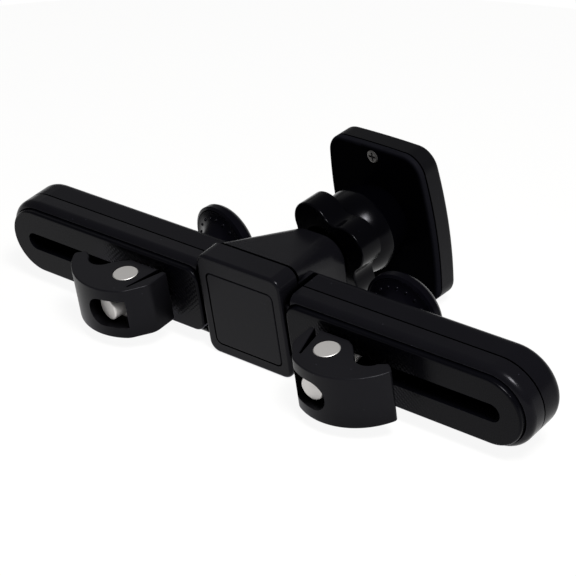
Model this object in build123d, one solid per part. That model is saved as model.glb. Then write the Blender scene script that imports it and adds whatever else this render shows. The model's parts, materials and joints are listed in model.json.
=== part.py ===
"""Headrest tablet mount: a slotted bar with two post hooks, an arm, a ball joint and a magnetic head.

Millimetres. +X runs along the bar, +Y from the headrest posts to the tablet, +Z is up.
The origin is the middle of the bar on the plane of its front rim.
"""
import os
from math import cos, radians, sin, sqrt

from build123d import *

os.makedirs("parts", exist_ok=True)

# Cutters run past a face by this much, and edges are picked within this distance
overshoot = 1.0
pick = 0.1

# Bar
bar_length = 225.0
bar_height = 29.7
bar_depth = 18.0
bar_wall = 2.5
bar_front_round = 3.0
bar_rear_round = 4.0
seam_y = 7.3
seam_groove = 0.3
bar_end_x = bar_length / 2 - bar_height / 2

# Slot plates let into the front of the bar, standing proud of its rim
rim_width = 1.9
plate_gap = 0.45
plate_proud = 1.8
plate_thickness = 4.3
plate_edge_round = 0.8
plate_corner = 5.0
plate_ledge = 2.0

# Centre block and its panel
block_half_width = 18.2
block_top = 20.6
block_bottom = -18.6
block_front_y = -plate_proud
block_corner = 4.0
block_edge_round = 1.2
block_floor_y = 4.2
block_wall = 3.0
panel_width = 28.4
panel_height = 28.0
panel_z = 0.0
panel_thickness = 1.7
panel_gap = 0.45
panel_corner = 2.0
panel_edge_round = 0.35
relief_width = 2.2
relief_depth = 4.0

# Arm behind the block
arm_end_y = 38.5
arm_end_half = 12.0
arm_end_corner = 9.0
arm_end_round = 2.0
arm_step = 0.4
arm_base_corner = 3.6
arm_wall = 2.8
arm_end_wall = 4.0

# Bolts, slots and the washers that slide behind the bar
bolt_radius = 2.5
bolt_head_radius = 4.3
bolt_head_length = 5.4
bolt_head_round = 0.6
bolt_end_y = 28.0
bolt_x = 43.8
running_gap = 0.1
slot_side_gap = 0.9
slot_inner_x = 36.0
slot_past_end = 1.25
slot_outer_x = bar_end_x + slot_past_end
slot_end_wall = 1.0
slot_height = 2 * (bolt_radius + slot_side_gap)
washer_radius = 6.8
washer_thickness = 1.2
face_gap = 0.05
left_lean = -10.0
left_slack = 3.4

# Hooks, given from the bolt axis
hook_half_height = 9.6
hook_edge_round = 0.5
hook_tip_round = 1.2
hook_flank_round = 6.0
post_radius = 5.0
post_u = 14.2
post_y = -plate_proud - post_radius
notch_half_angle = 65.0
hook_back_y = -3.5
hook_inner_u = -12.2
facet_top_y = -12.5
facet_end = (-6.8, -19.8)
front_crown = (5.0, -22.9)
tip_front = (25.0, -9.8)
tip_back = (21.8, -7.0)
notch_lip = (6.0, -5.0)
back_start_u = 3.4
slit_end_y = -16.5
slit_end_u = -6.1
slit_end_half = 0.3
slit_mouth_u = -9.4
slit_mouth_half = 1.2
barrel_radius = 4.4
barrel_y = -10.6
barrel_gap = 0.05
barrel_flat_y = -14.6
barrel_edge = 0.3
window_half_height = 5.4
window_inner_u = -7.0
window_outer_u = 7.4
window_floor_y = -12.5
channel_half_width = 4.4

# Knobs
knob_rim_radius = 14.6
knob_rim_y = 27.1
knob_rim_thickness = 2.2
knob_crown = (12.8, 31.5)
knob_cap_radius = 9.5
knob_cap_y = 32.4
knob_hub_radius = 6.4
knob_hub_y = 20.6
knob_flare = (8.4, 24.3)
knob_bowl_radius = 13.2
knob_bowl_y = 26.5
knob_lip_groove = 0.35
knob_bore_end_y = 31.0
pip_count = 18
pip_ring_radius = 10.6
pip_radius = 0.6
pip_sink = 0.15
nut_across_flats = 8.0
nut_height = 4.0
nut_y = 21.4
nut_pocket_gap = 0.05

# Ball joint
ball_radius = 8.5
ball_y = 57.5
ball_gap = 0.3
neck_radius = 5.0
neck_round = 2.5
liner_thickness = 1.5
collet_front = 4.7
collet_back = 0.6
collet_split = 1.2
pad_front = 3.4
pad_hole_radius = 2.0
boss_thread_radius = 12.8
boss_thread_y = 57.9
thread_gap = 0.3

# Lobed lock nut
lobe_circle = 11.0
lobe_radius = 8.4
lobe_angle = 27.5
lobe_count = 4
lobe_neck_round = 5.0
lobe_front_y = 43.0
lobe_back_y = 52.0
lobe_edge_round = 0.6
nut_mouth_radius = 10.4
nut_lip_radius = 9.0
skirt_root_radius = 11.0
skirt_root_y = 50.5
skirt_bulge = (14.1, 55.0)
skirt_edge_radius = 15.4
skirt_edge_y = 60.4
skirt_end_y = 61.0

# Head
head_half_width = 23.6
head_half_height = 29.8
head_side_bow = 2.6
head_top_bow = 0.5
head_corner_x = head_half_width - head_side_bow
head_corner_z = head_half_height - head_top_bow
head_corner_round = 8.0
head_drop = -1.8
head_back_y = 71.7
head_seam_y = 74.0
head_front_y = 81.3
head_turn = -5.0
head_roll = -3.2
head_back_round = 1.7
head_front_round = 1.5
head_seam_groove = 0.35
head_wall = 2.0
head_face_wall = 1.5
lip_height = 1.0
lip_width = 1.2
lip_gap = 0.15
boss_edge_radius = 15.0
boss_bulge = (14.4, 66.2)
boss_foot_radius = 12.0
pad_inset = 3.2
pad_depth = 1.0
pad_proud = 0.3
pad_edge_round = 0.25
magnet_radius = 8.0
magnet_height = 3.0
magnet_x = 11.0
magnet_z = 12.5
magnet_gap = 0.1
magnet_rib = 1.0

# Self-tapping screws
screw_shank_radius = 1.45
screw_head_radius = 2.5
screw_head_height = 1.7
screw_head_round = 0.55
screw_cross = 0.8
screw_cross_length = 3.3
screw_cross_depth = 0.9
screw_hole_gap = 0.05
screw_head_gap = 0.25
housing_screw_length = 10.0
block_screw_x = 9.5
block_screw_z = 10.0
block_screw_seat_y = 2.55
end_screw_inset = 5.5
end_screw_x = bar_length / 2 - end_screw_inset
end_screw_seat_y = 13.3
screw_boss_radius = 3.0
screw_boss_end_y = 24.0
head_screw_inset = 4.4
head_screw_z = head_half_height - head_screw_inset
head_screw_seat_y = 73.3
head_screw_length = 4.2


def facing(y):
    """Sketch plane across the mount at depth y, with X to the right and Z up."""
    return Plane.XZ.offset(-y)


def slab(sketch, y_front, y_back):
    """Sketch pushed from y_front to y_back."""
    return extrude(facing(y_front) * sketch, amount=y_front - y_back)


def turned(profile):
    """Profile of (radius, y) points, already a face on XY, spun about the Y axis."""
    return revolve(profile, axis=Axis.Y)


def rod(radius, y_front, y_back, x=0.0, z=0.0):
    """Round bar along Y."""
    return slab(Pos(x, z) * Circle(radius), y_front, y_back)


def front_edges(shape):
    """Edges of the foremost flat face."""
    return shape.faces().sort_by(Axis.Y)[0].edges()


def rear_edges(shape):
    """Edges of the rearmost flat face."""
    return shape.faces().sort_by(Axis.Y)[-1].edges()


def handed(shape):
    """The right-hand piece and its mirror image for the left."""
    return {"right": shape, "left": mirror(shape, about=Plane.YZ)}


def both_sides(shape):
    """A right-hand cutter or body together with its mirror image."""
    return shape + mirror(shape, about=Plane.YZ)


def on_bolts(shape, slack=0.0):
    """A piece on the bolts, square on the right and leaning in its slot on the slack left side."""
    pair = handed(Pos(bolt_x, 0, 0) * shape)
    barrel_axis = Pos(-bolt_x, barrel_y, 0)
    pair["left"] = barrel_axis * Rot(0, 0, left_lean) * Pos(bolt_x, slack - barrel_y, 0) * pair["left"]
    return pair


def save(name, shape):
    """Write one named node."""
    export_step(shape, f"parts/{name}.step")


def on_ball(shape, roll=0.0):
    """Piece of the head swung on the ball to the angle it is set to."""
    ball_spot = Pos(0, ball_y, 0)
    return ball_spot * Rot(0, 0, head_turn) * Rot(0, roll, 0) * Pos(0, -ball_y, 0) * shape


def stadium(inset):
    """Front outline of the bar drawn in by inset."""
    return SlotOverall(bar_length - 2 * inset, bar_height - 2 * inset)


def plate_outline(inset, inner_x):
    """Outline of the right-hand slot plate, square to the block and round at the bar end."""
    wing = stadium(inset) & Pos(inner_x + bar_length / 2, 0) * Rectangle(bar_length, 2 * bar_height)
    return fillet(wing.vertices().sort_by(Axis.X)[:2], plate_corner)


def slot_outline():
    """Long slot that the bolt slides along, on the right-hand side."""
    middle = (slot_inner_x + slot_outer_x) / 2
    return Pos(middle, 0) * SlotCenterToCenter(slot_outer_x - slot_inner_x, slot_height)


def block_outline(inset, corner):
    """Front outline of the centre block drawn in by inset."""
    width = 2 * (block_half_width - inset)
    height = block_top - block_bottom - 2 * inset
    middle = (block_top + block_bottom) / 2
    return Pos(0, middle) * RectangleRounded(width, height, corner)


def trough(wall, end_x, inner_x):
    """Hollow of the right-hand wing, as an outline."""
    middle = (end_x + inner_x) / 2
    return Pos(middle, 0) * RectangleRounded(end_x - inner_x, bar_height - 2 * wall, plate_corner)


def screw(length):
    """Cross-head screw along +Y from its head, with the seat of the head at the origin."""
    head = slab(Circle(screw_head_radius), -screw_head_height, 0)
    head = fillet(front_edges(head), screw_head_round)
    cross = Rectangle(screw_cross_length, screw_cross) + Rectangle(screw_cross, screw_cross_length)
    head -= slab(cross, -screw_head_height, screw_cross_depth - screw_head_height)
    shank = slab(Circle(screw_shank_radius), 0, length)
    return head + chamfer(rear_edges(shank), screw_shank_radius / 2)


# Positions shared by the pieces below
block_middle = (block_top + block_bottom) / 2
wing_inner_x = block_half_width + relief_width + bar_wall
wing_end_x = slot_outer_x + slot_height / 2 + slot_end_wall
plate_inset = rim_width + plate_gap
plate_seat_y = plate_thickness - plate_proud
panel_seat_y = block_front_y + panel_thickness
plate_inner_x = block_half_width + relief_width / 2
relief_x = block_half_width + relief_width / 2
block_screw_spots = [
    (side * block_screw_x, panel_z + rise * block_screw_z) for side in (-1, 1) for rise in (-1, 1)
]

# Front shell: rim of the bar with the face of the block
front_bar = slab(stadium(0), 0, seam_y)
front_bar = fillet(front_edges(front_bar), bar_front_round)
front_bar = chamfer(rear_edges(front_bar), seam_groove)
front_block = slab(block_outline(0, block_corner), block_front_y, seam_y)
front_block = fillet(front_edges(front_block), block_edge_round)
front_block = chamfer(rear_edges(front_block), seam_groove)
relief_slot = Rectangle(relief_width, 2 * relief_depth)
relief = slab(Pos(relief_x, bar_height / 2) * relief_slot, -overshoot, bar_depth - bar_wall)
relief += mirror(relief, about=Plane.XY)
reliefs = both_sides(relief)
recess = slab(plate_outline(rim_width, plate_inner_x - plate_gap), -overshoot, plate_seat_y)
front_hollow = slab(trough(rim_width + plate_ledge, wing_end_x, wing_inner_x), 0, seam_y)
front_shell = front_bar - reliefs + front_block
front_shell -= both_sides(recess + front_hollow)
front_shell -= slab(block_outline(block_wall, block_corner), block_floor_y, seam_y)
panel_outline = Pos(0, panel_z) * RectangleRounded(panel_width, panel_height, panel_corner)
panel_recess = Pos(0, panel_z) * RectangleRounded(
    panel_width + 2 * panel_gap, panel_height + 2 * panel_gap, panel_corner + panel_gap
)
front_shell -= slab(panel_recess, block_front_y, panel_seat_y)
for x, z in block_screw_spots:
    front_shell -= rod(screw_head_radius + screw_head_gap, panel_seat_y, block_screw_seat_y, x, z)
    front_shell -= rod(screw_shank_radius + screw_head_gap, panel_seat_y, seam_y, x, z)
end_screw_tip = end_screw_seat_y - housing_screw_length
end_pilot = rod(screw_shank_radius + screw_hole_gap, end_screw_tip, seam_y, end_screw_x)
front_shell -= both_sides(end_pilot)
save("front_shell", front_shell)

# Slot plates
plate = slab(plate_outline(plate_inset, plate_inner_x), -plate_proud, plate_seat_y)
plate = fillet(front_edges(plate), plate_edge_round)
plate -= slab(slot_outline(), -plate_proud, plate_seat_y)
for side, shape in handed(plate).items():
    save(f"{side}_slot_plate", shape)

# Panel that covers the screws in the block
panel = slab(panel_outline, block_front_y, panel_seat_y)
save("centre_panel", fillet(front_edges(panel), panel_edge_round))

# Rear shell: back of the bar, hollow arm, neck and ball in one moulding
rear_bar = slab(stadium(0), seam_y, bar_depth)
rear_bar = fillet(rear_edges(rear_bar), bar_rear_round)
rear_bar = chamfer(front_edges(rear_bar), seam_groove)
rear_bar -= reliefs


def arm_body(inset, end_y):
    """Tapered arm from the seam to end_y, drawn in by inset."""
    part_way = (end_y - seam_y) / (arm_end_y - seam_y)
    base_x = block_half_width - arm_step
    base_z = (block_top - block_bottom) / 2 - arm_step
    half_x = base_x + (arm_end_half - base_x) * part_way - inset
    half_z = base_z + (arm_end_half - base_z) * part_way - inset
    corner = arm_base_corner + (arm_end_corner - arm_base_corner) * part_way
    middle = block_middle * (1 - part_way)
    base = RectangleRounded(2 * (base_x - inset), 2 * (base_z - inset), arm_base_corner)
    end = RectangleRounded(2 * half_x, 2 * half_z, corner)
    return loft([facing(seam_y) * Pos(0, block_middle) * base, facing(end_y) * Pos(0, middle) * end])


arm_outside = arm_body(0, arm_end_y)
arm = fillet(rear_edges(arm_outside), arm_end_round)
rear_shell = rear_bar + arm
rear_shell -= arm_body(arm_wall, arm_end_y - arm_end_wall)
neck = rod(neck_radius, arm_end_y - arm_end_wall, ball_y)
rear_shell += neck
neck_root = rear_shell.edges().filter_by(GeomType.CIRCLE)
neck_root = neck_root.filter_by(lambda edge: abs(edge.radius - neck_radius) < pick)
neck_root = neck_root.filter_by_position(Axis.Y, arm_end_y - pick, arm_end_y + pick)
rear_shell = fillet(neck_root, neck_round)
rear_shell += Pos(0, ball_y, 0) * Sphere(ball_radius)
for x, z in block_screw_spots:
    boss = rod(screw_boss_radius, seam_y, screw_boss_end_y, x, z) & arm_outside
    rear_shell += boss
    tip_y = block_screw_seat_y + housing_screw_length
    rear_shell -= rod(screw_shank_radius + screw_hole_gap, seam_y, tip_y, x, z)
rear_hollow = slab(trough(bar_wall, wing_end_x, wing_inner_x), seam_y, bar_depth - bar_wall)
rear_slot = slab(slot_outline(), seam_y, bar_depth)
end_bore = rod(screw_head_radius + screw_head_gap, end_screw_seat_y, bar_depth, end_screw_x)
end_hole = rod(screw_shank_radius + screw_head_gap, seam_y, bar_depth, end_screw_x)
rear_shell -= both_sides(rear_hollow + rear_slot)
rear_shell -= both_sides(end_bore + end_hole)
save("rear_shell", rear_shell)

# Housing screws: four under the panel, one at each end of the bar
housing_screw = screw(housing_screw_length)
housing_screws = [Pos(x, block_screw_seat_y, z) * housing_screw for x, z in block_screw_spots]
turned_screw = Rot(0, 0, 180) * housing_screw
housing_screws += [Pos(side * end_screw_x, end_screw_seat_y, 0) * turned_screw for side in (-1, 1)]
save("housing_screws", Compound(housing_screws))

# Hook: outline seen from above, then the bore, window and channel for the bolt
notch_mid = (post_u, post_y - post_radius)
notch_reach = post_radius * sin(radians(notch_half_angle))
notch_drop = post_radius * cos(radians(notch_half_angle))
notch_right = (post_u + notch_reach, post_y - notch_drop)
notch_left = (post_u - notch_reach, post_y - notch_drop)
hook_line = [
    Polyline((hook_inner_u, hook_back_y), (hook_inner_u, facet_top_y), facet_end),
    ThreePointArc(facet_end, front_crown, tip_front),
    Polyline(tip_front, tip_back, notch_right),
    ThreePointArc(notch_right, notch_mid, notch_left),
    Polyline(
        notch_left,
        notch_lip,
        (back_start_u, hook_back_y),
        (slit_mouth_u + slit_mouth_half, hook_back_y),
        (slit_end_u + slit_end_half, slit_end_y),
        (slit_end_u - slit_end_half, slit_end_y),
        (slit_mouth_u - slit_mouth_half, hook_back_y),
        (hook_inner_u, hook_back_y),
    ),
]
hook_face = make_face(Curve() + hook_line)
hook = extrude(Pos(0, 0, -hook_half_height) * hook_face, amount=2 * hook_half_height)
upright = hook.edges().filter_by(Axis.Z)
tip_edges = upright.filter_by_position(Axis.X, tip_back[0] - pick, tip_front[0] + pick)
hook = fillet(tip_edges, hook_tip_round)
upright = hook.edges().filter_by(Axis.Z)
flank_edges = upright.filter_by_position(Axis.Y, facet_end[1] - pick, facet_top_y + pick)
flank_edges = flank_edges.filter_by_position(Axis.X, hook_inner_u - pick, facet_end[0] + pick)
hook = fillet(flank_edges, hook_flank_round)
rims = hook.faces().sort_by(Axis.Z)
hook = fillet(rims[0].edges() + rims[-1].edges(), hook_edge_round)
barrel_spot = Pos(0, barrel_y, 0)
hook -= barrel_spot * Cylinder(barrel_radius + barrel_gap, 2 * (hook_half_height + overshoot))
window_round_u = window_outer_u - window_half_height
window = Pos((window_inner_u + window_round_u) / 2, 0) * Rectangle(
    window_round_u - window_inner_u, 2 * window_half_height
)
window += Pos(window_round_u, 0) * Circle(window_half_height)
hook -= slab(window, front_crown[1] - overshoot, window_floor_y)
channel = Rectangle(2 * channel_half_width, slot_height)
hook -= slab(channel, barrel_y, 0)
for side, shape in handed(Pos(bolt_x, 0, 0) * hook).items():
    save(f"{side}_hook", shape)

# Barrel nut that the hook swings on, flush with the hook above and below
barrel = barrel_spot * Cylinder(barrel_radius, 2 * hook_half_height)
barrel = chamfer(barrel.edges().filter_by(GeomType.CIRCLE), barrel_edge)
barrel -= rod(bolt_radius + running_gap, barrel_y - 2 * barrel_radius, 0)
barrel -= rod(bolt_head_radius + running_gap, barrel_y - 2 * barrel_radius, barrel_flat_y)
for side, shape in on_bolts(barrel).items():
    save(f"{side}_barrel", shape)

# Bolt
bolt_head = rod(bolt_head_radius, barrel_flat_y - bolt_head_length, barrel_flat_y)
bolt_head = fillet(front_edges(bolt_head), bolt_head_round)
bolt_shank = chamfer(rear_edges(rod(bolt_radius, barrel_flat_y, bolt_end_y)), bolt_head_round)
bolt = bolt_head + bolt_shank
for side, shape in on_bolts(bolt).items():
    save(f"{side}_bolt", shape)

# Washer
washer_y = bar_depth + face_gap
washer_ring = Circle(washer_radius) - Circle(bolt_radius + running_gap)
washer = slab(washer_ring, washer_y, washer_y + washer_thickness)
for side, shape in on_bolts(washer, left_slack).items():
    save(f"{side}_washer", shape)

# Knob with its moulded-in hexagon nut
knob_base_y = washer_y + washer_thickness + face_gap
flare_foot = (knob_hub_radius, knob_hub_y)
bowl_edge = (knob_bowl_radius, knob_bowl_y)
knob_back_y = knob_rim_y + knob_rim_thickness
knob_line = [
    Polyline((0, knob_cap_y), (0, knob_base_y), (knob_hub_radius, knob_base_y), flare_foot),
    ThreePointArc(flare_foot, knob_flare, bowl_edge),
    Polyline(
        bowl_edge,
        (knob_bowl_radius, knob_bowl_y + knob_lip_groove),
        (knob_bowl_radius + knob_lip_groove, knob_bowl_y),
        (knob_rim_radius, knob_rim_y),
        (knob_rim_radius, knob_back_y),
    ),
    ThreePointArc((knob_rim_radius, knob_back_y), knob_crown, (knob_cap_radius, knob_cap_y)),
    Line((knob_cap_radius, knob_cap_y), (0, knob_cap_y)),
]
knob = turned(make_face(Curve() + knob_line))
flare_arc = ThreePointArc(flare_foot, knob_flare, bowl_edge)
flare_centre = flare_arc.arc_center
pip_y = flare_centre.Y + sqrt(flare_arc.radius**2 - (pip_ring_radius - flare_centre.X) ** 2)
pip = Pos(pip_ring_radius, pip_y + pip_sink, 0) * Sphere(pip_radius)
for step in range(pip_count):
    knob += Rot(0, 360 * (step + 0.5) / pip_count, 0) * pip
nut_corner_radius = nut_across_flats / sqrt(3)
pocket_corner_radius = nut_corner_radius + nut_pocket_gap
knob -= slab(RegularPolygon(pocket_corner_radius, 6), nut_y, nut_y + nut_height)
knob -= rod(bolt_radius + running_gap + face_gap, knob_base_y, knob_bore_end_y)
knob_nut = slab(RegularPolygon(nut_corner_radius, 6), nut_y, nut_y + nut_height)
knob_nut -= rod(bolt_radius + running_gap, nut_y, nut_y + nut_height)
for side, shape in on_bolts(knob, left_slack).items():
    save(f"{side}_knob", shape)
for side, shape in on_bolts(knob_nut, left_slack).items():
    save(f"{side}_knob_nut", shape)

# Spherical liners of the ball joint
liner_inner = ball_radius + ball_gap
liner_outer = liner_inner + liner_thickness
socket_radius = liner_outer + ball_gap
liner = Pos(0, ball_y, 0) * (Sphere(liner_outer) - Sphere(liner_inner))
collet = liner & rod(2 * liner_outer, ball_y - collet_front, ball_y - collet_back)
collet -= Pos(0, ball_y, liner_outer) * Box(collet_split, 4 * liner_outer, 2 * liner_outer)
save("ball_collet", on_ball(collet))
friction_pad = liner & rod(2 * liner_outer, ball_y + pad_front, ball_y + liner_outer)
friction_pad -= rod(pad_hole_radius, ball_y, ball_y + 2 * liner_outer)
save("friction_pad", friction_pad)

# Lock nut: four lobes and a bowl-shaped skirt
def polar(radius, degrees):
    """Point at a radius and an angle from +X."""
    return (radius * cos(radians(degrees)), radius * sin(radians(degrees)))


half_step = 180 / lobe_count
neck_offset = lobe_circle * sin(radians(half_step))
neck_centre = lobe_circle * cos(radians(half_step))
neck_centre += sqrt((lobe_radius + lobe_neck_round) ** 2 - neck_offset**2)
share = lobe_radius / (lobe_radius + lobe_neck_round)
lobe_line = []
for step in range(lobe_count):
    middle = lobe_angle + 2 * half_step * step
    lobe_spot = Vector(*polar(lobe_circle, middle))
    before = lobe_spot + (Vector(*polar(neck_centre, middle - half_step)) - lobe_spot) * share
    after = lobe_spot + (Vector(*polar(neck_centre, middle + half_step)) - lobe_spot) * share
    next_spot = Vector(*polar(lobe_circle, middle + 2 * half_step))
    onward = next_spot + (Vector(*polar(neck_centre, middle + half_step)) - next_spot) * share
    lobe_line.append(ThreePointArc(before, polar(lobe_circle + lobe_radius, middle), after))
    lobe_line.append(ThreePointArc(after, polar(neck_centre - lobe_neck_round, middle + half_step), onward))
lobes = make_face(Curve() + lobe_line)
lock_nut = slab(lobes, lobe_front_y, lobe_back_y)
lock_nut = fillet(front_edges(lock_nut), lobe_edge_round)
skirt_root = (skirt_root_radius, skirt_root_y)
skirt_edge = (skirt_edge_radius, skirt_edge_y)
skirt_line = [
    Polyline((0, skirt_end_y), (0, skirt_root_y), skirt_root),
    ThreePointArc(skirt_root, skirt_bulge, skirt_edge),
    Polyline(skirt_edge, (skirt_edge_radius, skirt_end_y), (0, skirt_end_y)),
]
lock_nut += turned(make_face(Curve() + skirt_line))
lip_y = ball_y - sqrt(socket_radius**2 - nut_lip_radius**2)
mouth_line = Polyline(
    (0, lobe_front_y), (nut_mouth_radius, lobe_front_y), (nut_lip_radius, lip_y), (0, lip_y), close=True
)
lock_nut -= turned(make_face(mouth_line))
lock_nut -= Pos(0, ball_y, 0) * Sphere(socket_radius)
lock_nut -= rod(boss_thread_radius + thread_gap, boss_thread_y - thread_gap, skirt_end_y)
save("lock_nut", on_ball(lock_nut))


def head_outline(inset):
    """Rounded rectangle with slightly bowed sides, drawn in by inset."""
    corner_x = head_corner_x - inset
    corner_z = head_corner_z - inset
    side = head_half_width - inset
    top = head_half_height - inset
    line = [
        ThreePointArc((corner_x, -corner_z), (side, 0), (corner_x, corner_z)),
        ThreePointArc((corner_x, corner_z), (0, top), (-corner_x, corner_z)),
        ThreePointArc((-corner_x, corner_z), (-side, 0), (-corner_x, -corner_z)),
        ThreePointArc((-corner_x, -corner_z), (0, -top), (corner_x, -corner_z)),
    ]
    face = make_face(Curve() + line)
    return Pos(0, head_drop) * fillet(face.vertices(), head_corner_round - inset)


# Back cover of the head with the threaded socket
back_cover = slab(head_outline(0), head_back_y, head_seam_y)
back_cover = fillet(front_edges(back_cover), head_back_round)
back_cover = chamfer(rear_edges(back_cover), head_seam_groove)
lip_inset = head_wall + lip_gap
lip_ring = head_outline(lip_inset) - head_outline(lip_inset + lip_width)
back_lip = slab(lip_ring, head_seam_y, head_seam_y + lip_height)
head_screw_spots = [head_drop - head_screw_z, head_drop + head_screw_z]
for z in head_screw_spots:
    back_lip -= rod(screw_boss_radius + lip_gap, head_seam_y, head_seam_y + lip_height, 0, z)
back_cover += back_lip
boss_edge_y = skirt_end_y + ball_gap
boss_line = [
    Polyline(
        (0, head_back_y + face_gap),
        (0, boss_thread_y),
        (boss_thread_radius, boss_thread_y),
        (boss_thread_radius, boss_edge_y),
        (boss_edge_radius, boss_edge_y),
    ),
    ThreePointArc((boss_edge_radius, boss_edge_y), boss_bulge, (boss_foot_radius, head_back_y + face_gap)),
    Line((boss_foot_radius, head_back_y + face_gap), (0, head_back_y + face_gap)),
]
back_cover += turned(make_face(Curve() + boss_line))
back_cover -= Pos(0, ball_y, 0) * Sphere(socket_radius)
for z in head_screw_spots:
    back_cover -= rod(screw_head_radius + screw_head_gap, head_back_y, head_screw_seat_y, 0, z)
    back_cover -= rod(screw_shank_radius + screw_head_gap, head_back_y, head_seam_y, 0, z)
save("head_back_cover", on_ball(back_cover, head_roll))

# Front cover with screw posts, magnet rings and the recess for the face pad
pad_floor_y = head_front_y - pad_depth
cover_floor_y = pad_floor_y - head_face_wall
front_cover = slab(head_outline(0), head_seam_y, head_front_y)
front_cover = fillet(rear_edges(front_cover), head_front_round)
front_cover = chamfer(front_edges(front_cover), head_seam_groove)
front_cover -= slab(head_outline(head_wall), head_seam_y, cover_floor_y)
front_cover -= slab(head_outline(pad_inset - pad_edge_round), pad_floor_y, head_front_y)
magnet_spots = [(side * magnet_x, head_drop + rise * magnet_z) for side in (-1, 1) for rise in (-1, 1)]
magnet_seat_y = cover_floor_y - magnet_height
for x, z in magnet_spots:
    ring = Circle(magnet_radius + magnet_gap + magnet_rib) - Circle(magnet_radius + magnet_gap)
    front_cover += slab(Pos(x, z) * ring, magnet_seat_y, cover_floor_y)
for x, z in magnet_spots:
    front_cover -= rod(magnet_radius + magnet_gap, head_seam_y, cover_floor_y, x, z)
for z in head_screw_spots:
    front_cover += rod(screw_boss_radius, head_seam_y, cover_floor_y, 0, z)
    front_cover -= rod(screw_shank_radius + screw_hole_gap, head_seam_y, cover_floor_y, 0, z)
save("head_front_cover", on_ball(front_cover, head_roll))

# Face pad, magnets and screws of the head
face_pad = slab(head_outline(pad_inset), pad_floor_y, head_front_y + pad_proud)
face_pad = fillet(rear_edges(face_pad), pad_edge_round)
save("face_pad", on_ball(face_pad, head_roll))
magnets = [rod(magnet_radius, magnet_seat_y, cover_floor_y, x, z) for x, z in magnet_spots]
save("head_magnets", on_ball(Compound(magnets), head_roll))
head_screw = screw(head_screw_length)
head_screws = [Pos(0, head_screw_seat_y, z) * head_screw for z in head_screw_spots]
save("head_screws", on_ball(Compound(head_screws), head_roll))
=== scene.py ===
"""Finishes, light and camera for the headrest tablet mount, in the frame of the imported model."""
import json
from math import radians, tau

import bmesh
import bpy
from bpy.props import FloatProperty, FloatVectorProperty, PointerProperty
from mathutils import Matrix, Vector


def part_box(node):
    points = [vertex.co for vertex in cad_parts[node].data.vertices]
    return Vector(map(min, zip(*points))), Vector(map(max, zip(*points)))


bl_info = {
    "name": "Headrest tablet mount",
    "version": (1, 0, 0),
    "blender": (4, 5, 0),
    "location": "View3D > Sidebar > Mount",
    "description": "Dresses the packed headrest tablet mount and sets up its studio",
    "category": "Object",
}

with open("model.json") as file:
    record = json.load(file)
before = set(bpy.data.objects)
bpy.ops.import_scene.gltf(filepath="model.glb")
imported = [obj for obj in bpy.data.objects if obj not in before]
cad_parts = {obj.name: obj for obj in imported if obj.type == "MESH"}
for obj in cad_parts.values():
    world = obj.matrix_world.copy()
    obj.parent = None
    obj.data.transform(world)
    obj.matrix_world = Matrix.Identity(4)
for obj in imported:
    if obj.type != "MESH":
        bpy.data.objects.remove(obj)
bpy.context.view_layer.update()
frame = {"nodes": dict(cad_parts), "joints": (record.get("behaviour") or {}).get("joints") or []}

SIDES = ("left", "right")
WHITE = (1.0, 1.0, 1.0, 1.0)
BLACK = (0.0, 0.0, 0.0, 1.0)
# Bluish tint of the plastics' reflections, a painted colour that stands in for a bluish light
BLUISH_REFLECTION = (0.94, 0.93, 1.0, 1.0)
MIDDLE = (0.0, 0.0, 0.0)
UNTURNED = (0.0, 0.0, 0.0)
UPRIGHT = (radians(90), 0.0, 0.0)
BACKWARDS = Vector((0.0, 1.0, 0.0))
# Length after which a wave texture of scale one repeats
WAVE_REPEAT = tau / 20.0
# Slopes of a line of sight between which the white walls turn into the ceiling
WALL_TOP, CEILING_EDGE = -0.1, 0.02
TABLE_SIDES = 96
SENSOR_WIDTH = 36.0
NEAREST_SEEN = 0.01


def colour(name, description, default):
    """Colour property with an alpha of one."""
    return FloatVectorProperty(
        name=name, description=description, subtype="COLOR", size=4, min=0.0, max=1.0, default=(*default, 1.0)
    )


def share(name, description, default):
    """Property that runs from nought to one."""
    return FloatProperty(
        name=name, description=description, subtype="FACTOR", min=0.0, max=1.0, default=default
    )


def length(name, description, default):
    """Property in metres."""
    return FloatProperty(
        name=name, description=description, subtype="DISTANCE", unit="LENGTH", precision=5, default=default
    )


def angle(name, description, default):
    """Property given in degrees and kept in radians."""
    return FloatProperty(name=name, description=description, subtype="ANGLE", default=radians(default))


def point(name, description, default):
    """Place in metres."""
    return FloatVectorProperty(
        name=name, description=description, subtype="XYZ", unit="LENGTH", precision=5, default=default
    )


def level(name, description, default):
    """Plain number, such as the strength of a light or the watts of a lamp."""
    return FloatProperty(name=name, description=description, default=default)


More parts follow.
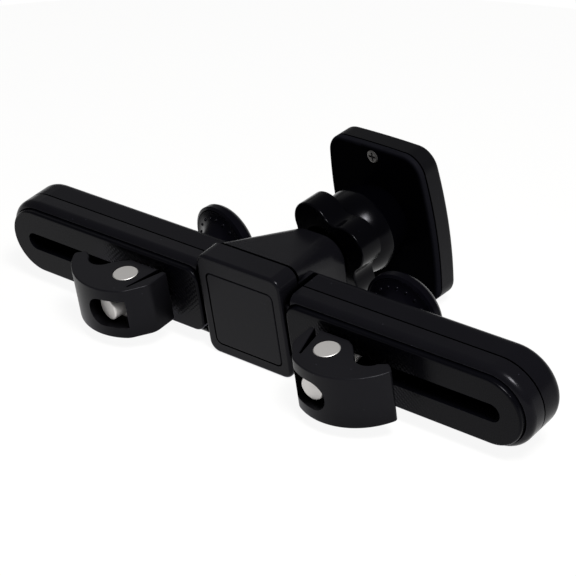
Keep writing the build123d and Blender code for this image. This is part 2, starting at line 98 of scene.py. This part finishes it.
class MOUNT_PG_finish(bpy.types.PropertyGroup):
    """Colours, gloss and texture sizes of the mount's finishes"""

    bar_colour: colour("Bar colour", "Black plastic of the bar, block and arm", (0.0034, 0.0033, 0.0044))
    bar_roughness: share("Bar roughness", "Roughness of the bar, block and arm", 0.24)
    bar_grain: length("Bar grain", "Size of the moulded grain on the bar", 0.00032)
    bar_seam: length("Bar seam", "Level of the seam between the bar's shells", 0.0073)
    bar_half_height: length("Bar half height", "Height that the bar covers of the arm's foot", 0.0152)
    block_half_width: length("Block half width", "Half of the block's width, which the arm keeps to", 0.0182)
    arm_seam: length("Arm seam", "Level of the seam between the block and the arm", 0.008)
    arm_seam_reach: length("Arm seam reach", "Half the width of the seam at the arm's foot", 0.0007)
    lip_width: length("Lip width", "Width and rise of the lip on the arm's foot", 0.0014)
    hook_colour: colour("Hook colour", "Black plastic of the hooks", (0.0048, 0.0047, 0.0058))
    hook_roughness: share("Hook roughness", "Roughness of the hooks", 0.36)
    plate_colour: colour("Plate colour", "Black plastic of the slot plates", (0.0011, 0.0011, 0.0018))
    plate_roughness: share("Plate roughness", "Roughness of the slot plates", 0.27)
    knurl_pitch: length("Knurl pitch", "Distance between the ridges of the slot plates", 0.0013)
    knurl_depth: length("Knurl depth", "Height of the ridges of the slot plates", 0.00007)
    knob_colour: colour("Knob colour", "Black plastic of the knobs", (0.0015, 0.0014, 0.0024))
    knob_roughness: share("Knob roughness", "Roughness of the knobs", 0.24)
    gloss_colour: colour(
        "Gloss colour", "Glossy black of the lock nut and the head's back", (0.0004, 0.0004, 0.0008)
    )
    gloss_roughness: share("Gloss roughness", "Roughness of the glossy black", 0.2)
    cover_colour: colour("Cover colour", "Satin black of the head's front cover", (0.0023, 0.0023, 0.0029))
    cover_roughness: share("Cover roughness", "Roughness of the head's front cover", 0.42)
    ball_middle: point("Ball middle", "Middle of the ball that carries the head", (0.0, 0.0575, 0.0))
    head_turn: FloatVectorProperty(
        name="Head turn", description="How the head is turned about the ball", subtype="EULER",
        default=(0.0, radians(-3.2), radians(-5.0)),
    )
    head_back: length("Head back", "Distance of the head's back from the ball's middle", 0.0142)
    head_seam: length("Head seam", "Distance of the head's seam from the ball's middle", 0.0165)
    # Painted highlight on the rounded edge of the head's back
    edge_sheen_colour: colour("Edge sheen colour", "Rounded edge of the head's back", (0.006, 0.006, 0.008))
    edge_reach: length("Edge reach", "Distance in which the head's back turns into its edge", 0.0007)
    pad_colour: colour("Pad colour", "Rubber of the face pad", (0.016, 0.016, 0.017))
    liner_colour: colour("Liner colour", "Plastic of the ball joint's liners", (0.03, 0.03, 0.032))
    zinc_colour: colour("Zinc colour", "Bright plate on the fasteners", (0.74, 0.72, 0.7))
    zinc_roughness: share("Zinc roughness", "Roughness of the plated fasteners", 0.5)
    # Painted shade: the head's screws are darker than the other screws for the shade of their recesses
    screw_shadow_colour: colour("Screw shadow colour", "Shadowed plate on the head's screws", (0.12, 0.115, 0.11))
    screw_roughness: share("Screw roughness", "Roughness of the head's screws", 0.3)


class MOUNT_PG_stage(bpy.types.PropertyGroup):
    """Camera, table and lights of the studio"""

    camera_place: point("Camera place", "Where the camera stands", (0.4019, -0.3897, 0.3769))
    camera_aim: point("Camera aim", "Point that the camera looks at", (0.0, 0.02106, -0.00092))
    camera_roll: angle("Camera roll", "Turn of the camera about its line of sight", -8.51)
    camera_lens: level("Lens", "Focal length in millimetres on a 36 mm sensor", 127.8)
    floor_tilt: angle("Floor tilt", "Slope of the table under the mount, which lies tipped forward", -10.8)
    floor_touch: point("Floor touch", "Point of the block that rests on the table", (0.0, -0.001, -0.0187))
    floor_radius: length("Floor radius", "Radius of the round table top", 0.42)
    floor_colour: colour("Floor colour", "Table top as it lights the mount", (0.39, 0.385, 0.42))
    floor_shade: colour("Floor shade", "Share of the table's light that is seen", (0.085, 0.084, 0.08))
    floor_glow: level("Floor glow", "White of the table top as it is seen", 0.915)
    world_level: level("World level", "Strength of the light from all round", 0.12)
    ceiling_level: share("Ceiling level", "Strength of the ceiling as glossy pieces show it", 0.2)
    key_place: point("Key place", "Where the lamp above the mount hangs", (0.46, -0.17, 0.77))
    key_power: level("Key power", "Watts of the lamp above the mount", 5.0)
    key_size: length("Key size", "Width of the lamp above the mount", 0.16)
    soft_place: point("Soft place", "Where the soft box round the lamp hangs", (0.5, -0.18, 0.84))
    soft_power: level("Soft power", "Watts of the soft box round the lamp", 8.5)
    soft_size: length("Soft size", "Width of the soft box round the lamp", 0.36)
    back_place: point("Back place", "Where the lamp behind the mount hangs", (-0.95, 0.6, 0.6))
    back_power: level("Back power", "Watts of the lamp behind the mount", 0.2)
    back_size: length("Back size", "Width of the lamp behind the mount", 0.5)


# Shader tools


def place(tree, kind, **settings):
    """New node with some of its settings."""
    node = tree.nodes.new(kind)
    for key, value in settings.items():
        setattr(node, key, value)
    return node


def reckon(tree, operation, first, second):
    """Math node on two sockets or numbers, and its result."""
    node = place(tree, "ShaderNodeMath", operation=operation)
    for socket, value in zip(node.inputs, (first, second)):
        if isinstance(value, bpy.types.NodeSocket):
            tree.links.new(value, socket)
        else:
            socket.default_value = value
    return node.outputs["Value"]


def size_of(tree, value):
    """Value without its sign."""
    return reckon(tree, "ABSOLUTE", value, 0.0)


def spread(tree, value, low, high, start=0.0, end=1.0):
    """Value between start and end turned into one between low and high."""
    node = place(tree, "ShaderNodeMapRange")
    tree.links.new(value, node.inputs["Value"])
    for label, number in (("From Min", start), ("From Max", end), ("To Min", low), ("To Max", high)):
        node.inputs[label].default_value = number
    return node.outputs["Result"]


def axes(tree, vector):
    """X, Y and Z of a vector."""
    node = place(tree, "ShaderNodeSeparateXYZ")
    tree.links.new(vector, node.inputs["Vector"])
    return node.outputs


def sight(tree):
    """Masks of the rays from the camera, and of those from pieces that mirror or let light through."""
    path = place(tree, "ShaderNodeLightPath").outputs
    return path["Is Camera Ray"], reckon(tree, "MAXIMUM", path["Is Glossy Ray"], path["Is Transmission Ray"])


def noise(tree, vector, scale, detail=3.0):
    """Noise value on a vector, with the scale as a socket or a number."""
    node = place(tree, "ShaderNodeTexNoise")
    tree.links.new(vector, node.inputs["Vector"])
    node.inputs["Detail"].default_value = detail
    if isinstance(scale, bpy.types.NodeSocket):
        tree.links.new(scale, node.inputs["Scale"])
    else:
        node.inputs["Scale"].default_value = scale
    return node.outputs["Fac"]


def effect(name, numbers, outputs):
    """New node group with a Vector input, numbered inputs and value outputs."""
    tree = bpy.data.node_groups.new(name, "ShaderNodeTree")
    tree.interface.new_socket(name="Vector", in_out="INPUT", socket_type="NodeSocketVector")
    for label, default in numbers.items():
        socket = tree.interface.new_socket(name=label, in_out="INPUT", socket_type="NodeSocketFloat")
        socket.default_value = default
    for label in outputs:
        tree.interface.new_socket(name=label, in_out="OUTPUT", socket_type="NodeSocketFloat")
    return tree, tree.nodes.new("NodeGroupInput"), tree.nodes.new("NodeGroupOutput")


# Effects that the finishes share


def moulded_grain():
    """Fine spark-eroded grain of a plastic moulding, with slow mottling of its gloss."""
    tree, start, end = effect("Moulded grain", {"Size": 0.0003}, ("Height", "Mottle"))
    pit_share, mottles_per_metre, mottle_detail = 0.6, 90.0, 5.0
    vector = start.outputs["Vector"]
    scale = reckon(tree, "DIVIDE", 1.0, start.outputs["Size"])
    cells = place(tree, "ShaderNodeTexVoronoi", feature="SMOOTH_F1")
    tree.links.new(vector, cells.inputs["Vector"])
    tree.links.new(scale, cells.inputs["Scale"])
    pits = reckon(tree, "MULTIPLY", cells.outputs["Distance"], pit_share)
    tree.links.new(reckon(tree, "ADD", pits, noise(tree, vector, scale)), end.inputs["Height"])
    tree.links.new(noise(tree, vector, mottles_per_metre, mottle_detail), end.inputs["Mottle"])
    return tree


def handling():
    """Smudges from fingers and a few specks of dust."""
    tree, start, end = effect("Handling", {"Speck size": 0.0011}, ("Smudge", "Dust"))
    smudges_per_metre, smudge_detail = 42.0, 4.0
    speck_radius, bare_share = 0.13, 0.985
    vector = start.outputs["Vector"]
    prints = noise(tree, vector, smudges_per_metre, smudge_detail)
    tree.links.new(spread(tree, prints, 0.0, 1.0, start=0.5, end=0.75), end.inputs["Smudge"])
    specks = place(tree, "ShaderNodeTexVoronoi", feature="F1")
    tree.links.new(vector, specks.inputs["Vector"])
    tree.links.new(reckon(tree, "DIVIDE", 1.0, start.outputs["Speck size"]), specks.inputs["Scale"])
    near = reckon(tree, "LESS_THAN", specks.outputs["Distance"], speck_radius)
    tint = place(tree, "ShaderNodeSeparateColor")
    tree.links.new(specks.outputs["Color"], tint.inputs["Color"])
    rare = reckon(tree, "GREATER_THAN", tint.outputs["Red"], bare_share)
    tree.links.new(reckon(tree, "MULTIPLY", near, rare), end.inputs["Dust"])
    return tree


def edge_wear_and_sheen():
    """Rubbed edges, where the rounded normal leaves the true one; the mask marks real wear and also a painted
    highlight where edges catch light.
    """
    tree, start, end = effect("Edge wear and sheen", {"Reach": 0.0006}, ("Worn",))
    patches_per_metre = 650.0
    rounded = place(tree, "ShaderNodeBevel", samples=4)
    tree.links.new(start.outputs["Reach"], rounded.inputs["Radius"])
    surface = place(tree, "ShaderNodeNewGeometry")
    match = place(tree, "ShaderNodeVectorMath", operation="DOT_PRODUCT")
    tree.links.new(rounded.outputs["Normal"], match.inputs[0])
    tree.links.new(surface.outputs["Normal"], match.inputs[1])
    edge = spread(tree, match.outputs["Value"], 1.0, 0.0, start=0.8, end=0.99)
    patches = noise(tree, start.outputs["Vector"], patches_per_metre)
    patchy = spread(tree, patches, 0.0, 1.0, start=0.38, end=0.6)
    tree.links.new(reckon(tree, "MULTIPLY", edge, patchy), end.inputs["Worn"])
    return tree


def painted_seam_shade():
    """Painted shade in a band about a level along Y where two mouldings meet, left out of a zone about the
    middle height.
    """
    tree, start, end = effect("Painted seam shade", {"Level": 0.0, "Reach": 0.0003, "Zone": 0.0}, ("Gap",))
    along = axes(tree, start.outputs["Vector"])
    offset = reckon(tree, "SUBTRACT", along["Y"], start.outputs["Level"])
    band = reckon(tree, "LESS_THAN", size_of(tree, offset), start.outputs["Reach"])
    outside = reckon(tree, "GREATER_THAN", size_of(tree, along["Z"]), start.outputs["Zone"])
    tree.links.new(reckon(tree, "MULTIPLY", band, outside), end.inputs["Gap"])
    return tree


def seam_lip():
    """Step up along Y behind a seam, kept to the middle of the X axis."""
    tree, start, end = effect("Seam lip", {"Level": 0.0, "Width": 0.001, "Half": 0.01}, ("Height",))
    along = axes(tree, start.outputs["Vector"])
    past = reckon(tree, "SUBTRACT", along["Y"], start.outputs["Level"])
    rise = spread(tree, reckon(tree, "DIVIDE", past, start.outputs["Width"]), 0.0, 1.0)
    inside = reckon(tree, "LESS_THAN", size_of(tree, along["X"]), start.outputs["Half"])
    tree.links.new(reckon(tree, "MULTIPLY", rise, inside), end.inputs["Height"])
    return tree


def painted_occlusion():
    """Painted shade in corners and pockets that little light gets into, found by ambient occlusion."""
    tree, start, end = effect("Painted occlusion", {"Distance": 0.006}, ("Depth",))
    shade = place(tree, "ShaderNodeAmbientOcclusion", samples=8)
    tree.links.new(start.outputs["Distance"], shade.inputs["Distance"])
    tree.links.new(spread(tree, shade.outputs["AO"], 1.0, 0.0, start=0.2, end=0.7), end.inputs["Depth"])
    return tree


def knurl():
    """Two crossed sets of ridges on the plates' faces, dying away towards the ends of the bar."""
    tree, start, end = effect("Knurl", {"Pitch": 0.0013}, ("Height",))
    slant = radians(45)
    face_limit = -0.95
    scale = reckon(tree, "DIVIDE", WAVE_REPEAT, start.outputs["Pitch"])
    ridges = []
    for turn in (-slant, slant):
        turned = place(tree, "ShaderNodeMapping")
        turned.inputs["Rotation"].default_value = (0.0, turn, 0.0)
        tree.links.new(start.outputs["Vector"], turned.inputs["Vector"])
        wave = place(tree, "ShaderNodeTexWave", wave_type="BANDS", bands_direction="X", wave_profile="TRI")
        tree.links.new(turned.outputs["Vector"], wave.inputs["Vector"])
        tree.links.new(scale, wave.inputs["Scale"])
        ridges.append(wave.outputs["Fac"])
    spot = axes(tree, start.outputs["Vector"])
    inner = spread(tree, size_of(tree, spot["X"]), 1.0, 0.0, start=0.062, end=0.078)
    within = spread(tree, size_of(tree, spot["Z"]), 1.0, 0.0, start=0.0105, end=0.0112)
    lean = axes(tree, place(tree, "ShaderNodeTexCoord").outputs["Normal"])
    facing = reckon(tree, "LESS_THAN", lean["Y"], face_limit)
    zone = reckon(tree, "MULTIPLY", reckon(tree, "MULTIPLY", inner, within), facing)
    tree.links.new(reckon(tree, "MULTIPLY", reckon(tree, "MINIMUM", *ridges), zone), end.inputs["Height"])
    return tree


def turning():
    """Rings left by a lathe round the Y axis, and the crests of a thread along it."""
    tree, start, end = effect("Turning", {"Ring": 0.0003, "Thread": 0.0008}, ("Rings", "Crests"))
    for label, number, settings in (
        ("Rings", "Ring", {"wave_type": "RINGS", "rings_direction": "Y"}),
        ("Crests", "Thread", {"wave_type": "BANDS", "bands_direction": "Y"}),
    ):
        wave = place(tree, "ShaderNodeTexWave", **settings)
        tree.links.new(start.outputs["Vector"], wave.inputs["Vector"])
        tree.links.new(reckon(tree, "DIVIDE", WAVE_REPEAT, start.outputs[number]), wave.inputs["Scale"])
        tree.links.new(wave.outputs["Fac"], end.inputs[label])
    return tree


EFFECTS = {}


def apply_effect(tree, make, vector, **numbers):
    """Group node of an effect, which is built the first time it is asked for."""
    if make.__name__ not in EFFECTS:
        EFFECTS[make.__name__] = make()
    node = place(tree, "ShaderNodeGroup", node_tree=EFFECTS[make.__name__])
    tree.links.new(vector, node.inputs["Vector"])
    for label, value in numbers.items():
        node.inputs[label].default_value = value
    return node.outputs


class Finish:
    """Material under way, with its shader and its coordinates."""

    def __init__(self, name, origin=MIDDLE, turn=UNTURNED):
        self.material = bpy.data.materials.new(name)
        self.material.use_nodes = True
        self.tree = self.material.node_tree
        self.shader = self.tree.nodes["Principled BSDF"]
        where = place(self.tree, "ShaderNodeTexCoord")
        mapping = place(self.tree, "ShaderNodeMapping", vector_type="TEXTURE")
        mapping.inputs["Location"].default_value = origin
        mapping.inputs["Rotation"].default_value = turn
        self.tree.links.new(where.outputs["Object"], mapping.inputs["Vector"])
        self.vector = mapping.outputs["Vector"]

    def set(self, **sockets):
        """Constant values on the shader's own sockets."""
        for label, value in sockets.items():
            self.shader.inputs[label.replace("_", " ").title().replace("Ior", "IOR")].default_value = value
        return self

    def effect(self, make, **numbers):
        """Outputs of an effect on this finish's coordinates."""
        return apply_effect(self.tree, make, self.vector, **numbers)

    def over(self, mask, tint):
        """Colour laid over the base colour where the mask is one."""
        base = self.shader.inputs["Base Color"]
        mix = place(self.tree, "ShaderNodeMix", data_type="RGBA")
        self.tree.links.new(mask, mix.inputs["Factor"])
        if base.is_linked:
            self.tree.links.new(base.links[0].from_socket, mix.inputs["A"])
        else:
            mix.inputs["A"].default_value = base.default_value
        mix.inputs["B"].default_value = tint
        self.tree.links.new(mix.outputs["Result"], base)
        return self

    def paint_shade(self, *masks):
        """Painted shade: black with little gloss where one of the masks is one."""
        for mask in masks:
            self.over(mask, BLACK)
            metal = self.shader.inputs["Metallic"]
            if metal.is_linked:
                mask = reckon(self.tree, "MAXIMUM", metal.links[0].from_socket, mask)
            self.tree.links.new(mask, metal)
        return self

    def rough(self, base, *changes):
        """Roughness: a base value with (mask, amount) changes added to it."""
        result = base
        for mask, amount in changes:
            result = reckon(self.tree, "ADD", reckon(self.tree, "MULTIPLY", mask, amount), result)
        self.tree.links.new(result, self.shader.inputs["Roughness"])
        return self

    def bump(self, height, depth, strength=1.0):
        """Bump of a given depth in metres, laid over any bump before it."""
        node = place(self.tree, "ShaderNodeBump")
        node.inputs["Distance"].default_value = depth
        node.inputs["Strength"].default_value = strength
        self.tree.links.new(height, node.inputs["Height"])
        normal = self.shader.inputs["Normal"]
        if normal.is_linked:
            self.tree.links.new(normal.links[0].from_socket, node.inputs["Normal"])
        self.tree.links.new(node.outputs["Normal"], normal)
        return self


def shaded(tint, times):
    """Colour made lighter or darker, with an alpha of one."""
    return (*(min(1.0, part * times) for part in tint[:3]), 1.0)


def moulded(name, tint, roughness, grain, depth, specular, wear=0.5, spot=()):
    """Grained black plastic with smudges, dust and rubbed edges, whose lighter colour is partly real wear and
    partly painted highlight.
    """
    mottle_share, mottle_swing, smudge_shine, worn_shine = 0.5, 0.12, -0.05, -0.1
    mottle_tint, wear_and_sheen_tint, dust_tint = shaded(tint, 1.5), shaded(tint, 4.0), shaded(tint, 9.0)
    finish = Finish(name, *spot)
    # Reflections tinted bluish, painted in for a bluish light
    finish.set(base_color=tint, specular_ior_level=specular, specular_tint=BLUISH_REFLECTION)
    skin = finish.effect(moulded_grain, Size=grain)
    hands = finish.effect(handling)
    rubbed = finish.effect(edge_wear_and_sheen)
    worn_and_sheen = reckon(finish.tree, "MULTIPLY", rubbed["Worn"], wear)
    finish.over(reckon(finish.tree, "MULTIPLY", skin["Mottle"], mottle_share), mottle_tint)
    # Lighter edges: partly real wear, partly painted highlight
    finish.over(worn_and_sheen, wear_and_sheen_tint)
    finish.over(hands["Dust"], dust_tint)
    shine = ((skin["Mottle"], mottle_swing), (hands["Smudge"], smudge_shine), (worn_and_sheen, worn_shine))
    finish.rough(roughness - mottle_swing / 2, *shine)
    return finish.bump(skin["Height"], depth)


def plated(name, tint, roughness, origin=MIDDLE, turn=UNTURNED, threaded=False):
    """Zinc plate over turned steel, with a thread behind the origin where one is asked for."""
    spangle, ring_depth, ring_strength, thread_depth = 0.0005, 0.000008, 0.5, 0.0003
    shine, mottle_swing, ring_swing = 0.05, 0.14, 0.04
    finish = Finish(name, origin, turn).set(base_color=tint, metallic=0.85)
    marks = finish.effect(turning)
    skin = finish.effect(moulded_grain, Size=spangle)
    finish.over(skin["Mottle"], shaded(tint, 0.8))
    finish.rough(roughness - shine, (skin["Mottle"], mottle_swing), (marks["Rings"], ring_swing))
    finish.bump(marks["Rings"], ring_depth, ring_strength)
    if threaded:
        shank = reckon(finish.tree, "GREATER_THAN", axes(finish.tree, finish.vector)["Y"], 0.0)
        finish.bump(reckon(finish.tree, "MULTIPLY", marks["Crests"], shank), thread_depth)
    return finish


def dress(finish, *names):
    """Give a finish to CAD nodes."""
    for name in names:
        node = frame["nodes"][name]
        if not node.material_slots:
            raise RuntimeError(f"{name} has no material slot")
        for slot in node.material_slots:
            slot.material = finish.material


# Pieces


class MOUNT_OT_bar(bpy.types.Operator):
    """Dress the bar's shells, the arm and the block's panel"""

    bl_idname = "mount.bar"
    bl_label = "Bar and arm"

    def execute(self, context):
        settings = context.scene.mount_finish
        front = self.plastic(settings, "Front plastic", specular=0.083)
        dress(front, "front_shell", "centre_panel")
        rear = self.plastic(settings, "Rear plastic", specular=0.045)
        lip = rear.effect(
            seam_lip, Level=settings.bar_seam, Width=settings.lip_width, Half=settings.block_half_width
        )
        rear.bump(lip["Height"], settings.lip_width)
        dress(rear, "rear_shell")
        return {"FINISHED"}

    def plastic(self, settings, name, specular):
        """Plastic of a shell, with painted shade along the seams and in its corners."""
        finish = moulded(
            name, settings.bar_colour, settings.bar_roughness, settings.bar_grain,
            depth=0.000007, specular=specular,
        )
        arm_foot = finish.effect(
            painted_seam_shade, Level=settings.arm_seam, Reach=settings.arm_seam_reach, Zone=settings.bar_half_height
        )
        # Painted shade along the bar's seam, at the arm's foot and in the corners
        return finish.paint_shade(
            finish.effect(painted_seam_shade, Level=settings.bar_seam)["Gap"],
            arm_foot["Gap"],
            finish.effect(painted_occlusion)["Depth"],
        )


class MOUNT_OT_slot_plates(bpy.types.Operator):
    """Dress the knurled slot plates"""

    bl_idname = "mount.slot_plates"
    bl_label = "Slot plates"

    def execute(self, context):
        settings = context.scene.mount_finish
        plate = moulded(
            "Plate plastic", settings.plate_colour, settings.plate_roughness,
            grain=0.0002, depth=0.000004, specular=0.062,
        )
        plate.bump(plate.effect(knurl, Pitch=settings.knurl_pitch)["Height"], settings.knurl_depth)
        # Painted shade in the corners and the hooks' shadow on the plates
        plate.paint_shade(plate.effect(painted_occlusion, Distance=0.016)["Depth"])
        dress(plate, *(f"{side}_slot_plate" for side in SIDES))
        return {"FINISHED"}


class MOUNT_OT_hooks(bpy.types.Operator):
    """Dress the hooks"""

    bl_idname = "mount.hooks"
    bl_label = "Hooks"

    def execute(self, context):
        settings = context.scene.mount_finish
        plastic = moulded(
            "Hook plastic", settings.hook_colour, settings.hook_roughness,
            grain=0.00028, depth=0.000006, specular=0.09,
        )
        # Painted shade in the hooks' pockets and corners
        plastic.paint_shade(plastic.effect(painted_occlusion, Distance=0.028)["Depth"])
        dress(plastic, *(f"{side}_hook" for side in SIDES))
        return {"FINISHED"}


class MOUNT_OT_fasteners(bpy.types.Operator):
    """Dress the barrels, bolts, washers, nuts, screws and magnets"""

    bl_idname = "mount.fasteners"
    bl_label = "Fasteners"

    def execute(self, context):
        settings = context.scene.mount_finish
        bright = (settings.zinc_colour, settings.zinc_roughness)
        for side in SIDES:
            low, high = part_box(f"{side}_barrel")
            middle = (low + high) / 2
            dress(plated(f"Plated {side} barrel", *bright, middle, UPRIGHT), f"{side}_barrel")
            axis = next(j["axis"] for j in frame["joints"] if j["name"] == f"{side}_knob_turn")
            lean = BACKWARDS.rotation_difference(Vector(axis)).to_euler()
            bolt = plated(f"Plated {side} bolt", *bright, middle, tuple(lean), threaded=True)
            dress(bolt, f"{side}_bolt", f"{side}_washer", f"{side}_knob_nut")
        dress(plated("Plated screws", *bright), "housing_screws", "head_magnets")
        # Head screws painted darker for the shade of their recesses
        dress(plated("Shadowed screws", settings.screw_shadow_colour, settings.screw_roughness), "head_screws")
        return {"FINISHED"}


class MOUNT_OT_knobs(bpy.types.Operator):
    """Dress the knobs"""

    bl_idname = "mount.knobs"
    bl_label = "Knobs"

    def execute(self, context):
        settings = context.scene.mount_finish
        satin = moulded(
            "Knob plastic", settings.knob_colour, settings.knob_roughness,
            grain=0.0004, depth=0.000003, specular=0.05,
        )
        dress(satin, *(f"{side}_knob" for side in SIDES))
        return {"FINISHED"}


class MOUNT_OT_ball_joint(bpy.types.Operator):
    """Dress the lock nut and the liners of the ball"""

    bl_idname = "mount.ball_joint"
    bl_label = "Ball joint"

    def execute(self, context):
        settings = context.scene.mount_finish
        gloss = moulded(
            "Nut plastic", settings.gloss_colour, settings.gloss_roughness,
            grain=0.0009, depth=0.000002, specular=0.075, wear=0.2,
        )
        dress(gloss, "lock_nut")
        liner = moulded(
            "Liner plastic", settings.liner_colour, roughness=0.45, grain=0.0004, depth=0.00001, specular=0.2
        )
        dress(liner, "ball_collet", "friction_pad")
        return {"FINISHED"}


class MOUNT_OT_head(bpy.types.Operator):
    """Dress the head's covers and pad"""

    bl_idname = "mount.head"
    bl_label = "Head"

    def execute(self, context):
        settings = context.scene.mount_finish
        spot = (settings.ball_middle, settings.head_turn)
        back = moulded(
            "Back plastic", settings.gloss_colour, settings.gloss_roughness,
            grain=0.0009, depth=0.000002, specular=0.001, wear=0.2, spot=spot,
        )
        # Painted highlight: the rounded edge of the head's back is made lighter than its dark face
        edge_start = settings.head_back
        edge_end = edge_start + settings.edge_reach
        along = axes(back.tree, back.vector)
        back.over(spread(back.tree, along["Y"], 0.0, 1.0, edge_start, edge_end), settings.edge_sheen_colour)
        cover = moulded(
            "Cover plastic", settings.cover_colour, settings.cover_roughness,
            grain=0.0003, depth=0.000008, specular=0.09, spot=spot,
        )
        for finish, node in ((back, "head_back_cover"), (cover, "head_front_cover")):
            # Painted shade along the head's seam
            finish.paint_shade(finish.effect(painted_seam_shade, Level=settings.head_seam)["Gap"])
            dress(finish, node)
        pad = moulded(
            "Pad rubber", settings.pad_colour, roughness=0.75,
            grain=0.00025, depth=0.00004, specular=0.15, wear=0.2,
        )
        dress(pad, "face_pad")
        return {"FINISHED"}


class MOUNT_OT_stage(bpy.types.Operator):
    """Set up the table top, the lamps, the world and the camera"""

    bl_idname = "mount.stage"
    bl_label = "Stage"

    def execute(self, context):
        settings = context.scene.mount_stage
        self.table(settings)
        self.lamps(settings)
        self.world(settings)
        self.camera(settings)
        context.scene.view_settings.view_transform = "Standard"
        return {"FINISHED"}

    def table(self, settings):
        """Round table top, white where it is seen or mirrored and clear from below."""
        form = bmesh.new()
        slope = Matrix.Translation(settings.floor_touch) @ Matrix.Rotation(settings.floor_tilt, 4, "X")
        bmesh.ops.create_circle(
            form, cap_ends=True, radius=settings.floor_radius, segments=TABLE_SIDES, matrix=slope
        )
        mesh = bpy.data.meshes.new("table_top")
        form.to_mesh(mesh)
        form.free()
        table = bpy.data.objects.new("table_top", mesh)
        bpy.context.collection.objects.link(table)
        surface = Finish("Table white")
        surface.set(base_color=settings.floor_colour, roughness=0.9, specular_ior_level=0.0)
        surface.set(emission_color=WHITE)
        seen = reckon(surface.tree, "MAXIMUM", *sight(surface.tree))
        surface.over(seen, settings.floor_shade)
        glow = spread(surface.tree, seen, 0.0, settings.floor_glow)
        surface.tree.links.new(glow, surface.shader.inputs["Emission Strength"])
        below = place(surface.tree, "ShaderNodeNewGeometry").outputs["Backfacing"]
        surface.tree.links.new(spread(surface.tree, below, 1.0, 0.0), surface.shader.inputs["Alpha"])
        mesh.materials.append(surface.material)

    def lamps(self, settings):
        """Lamp above the mount, a soft box round it and a weak lamp behind."""
        aim = Vector(settings.camera_aim)
        lamps = (
            ("Lamp above", settings.key_power, settings.key_size, settings.key_place),
            ("Soft box", settings.soft_power, settings.soft_size, settings.soft_place),
            ("Lamp behind", settings.back_power, settings.back_size, settings.back_place),
        )
        for name, power, size, spot in lamps:
            data = bpy.data.lights.new(name, "AREA")
            data.energy = power
            data.size = size
            lamp = bpy.data.objects.new(name, data)
            lamp.location = spot
            lamp.rotation_euler = (aim - Vector(spot)).to_track_quat("-Z", "Y").to_euler()
            bpy.context.collection.objects.link(lamp)

    def world(self, settings):
        """Weak light all round, with white walls as they are seen and a darker ceiling as it is mirrored."""
        world = bpy.data.worlds.new("Studio")
        world.use_nodes = True
        tree = world.node_tree
        sky = tree.nodes["Background"]
        sky.inputs["Color"].default_value = WHITE
        way = axes(tree, place(tree, "ShaderNodeTexCoord").outputs["Generated"])
        walls = spread(tree, way["Z"], 1.0, settings.ceiling_level, WALL_TOP, CEILING_EDGE)
        direct, mirrored = sight(tree)
        shown = reckon(tree, "MAXIMUM", direct, reckon(tree, "MULTIPLY", mirrored, walls))
        tree.links.new(reckon(tree, "MAXIMUM", shown, settings.world_level), sky.inputs["Strength"])
        bpy.context.scene.world = world

    def camera(self, settings):
        """Camera at the photograph's angle."""
        data = bpy.data.cameras.new("Camera")
        data.lens = settings.camera_lens
        data.sensor_width = SENSOR_WIDTH
        data.clip_start = NEAREST_SEEN
        camera = bpy.data.objects.new("Camera", data)
        sightline = Vector(settings.camera_aim) - Vector(settings.camera_place)
        upright = sightline.to_track_quat("-Z", "Y").to_matrix().to_4x4()
        roll = Matrix.Rotation(settings.camera_roll, 4, "Z")
        camera.matrix_world = Matrix.Translation(settings.camera_place) @ upright @ roll
        bpy.context.collection.objects.link(camera)
        bpy.context.scene.camera = camera


OPERATORS = (
    MOUNT_OT_bar,
    MOUNT_OT_slot_plates,
    MOUNT_OT_hooks,
    MOUNT_OT_fasteners,
    MOUNT_OT_knobs,
    MOUNT_OT_ball_joint,
    MOUNT_OT_head,
    MOUNT_OT_stage,
)


class MOUNT_PT_panel(bpy.types.Panel):
    """Buttons for the mount's pieces, with the values that they use"""

    bl_label = "Headrest tablet mount"
    bl_space_type = "VIEW_3D"
    bl_region_type = "UI"
    bl_category = "Mount"

    def draw(self, context):
        for operator in OPERATORS:
            self.layout.operator(operator.bl_idname)
        for group in (context.scene.mount_finish, context.scene.mount_stage):
            box = self.layout.box()
            for key in group.__annotations__:
                box.prop(group, key)


CLASSES = (MOUNT_PG_finish, MOUNT_PG_stage, *OPERATORS, MOUNT_PT_panel)


def register():
    for entry in CLASSES:
        bpy.utils.register_class(entry)
    bpy.types.Scene.mount_finish = PointerProperty(type=MOUNT_PG_finish)
    bpy.types.Scene.mount_stage = PointerProperty(type=MOUNT_PG_stage)


def unregister():
    del bpy.types.Scene.mount_stage
    del bpy.types.Scene.mount_finish
    for entry in reversed(CLASSES):
        bpy.utils.unregister_class(entry)


def main():
    register()
    bpy.ops.mount.bar()
    bpy.ops.mount.slot_plates()
    bpy.ops.mount.hooks()
    bpy.ops.mount.fasteners()
    bpy.ops.mount.knobs()
    bpy.ops.mount.ball_joint()
    bpy.ops.mount.head()
    bpy.ops.mount.stage()


if __name__ == "__main__":
    main()
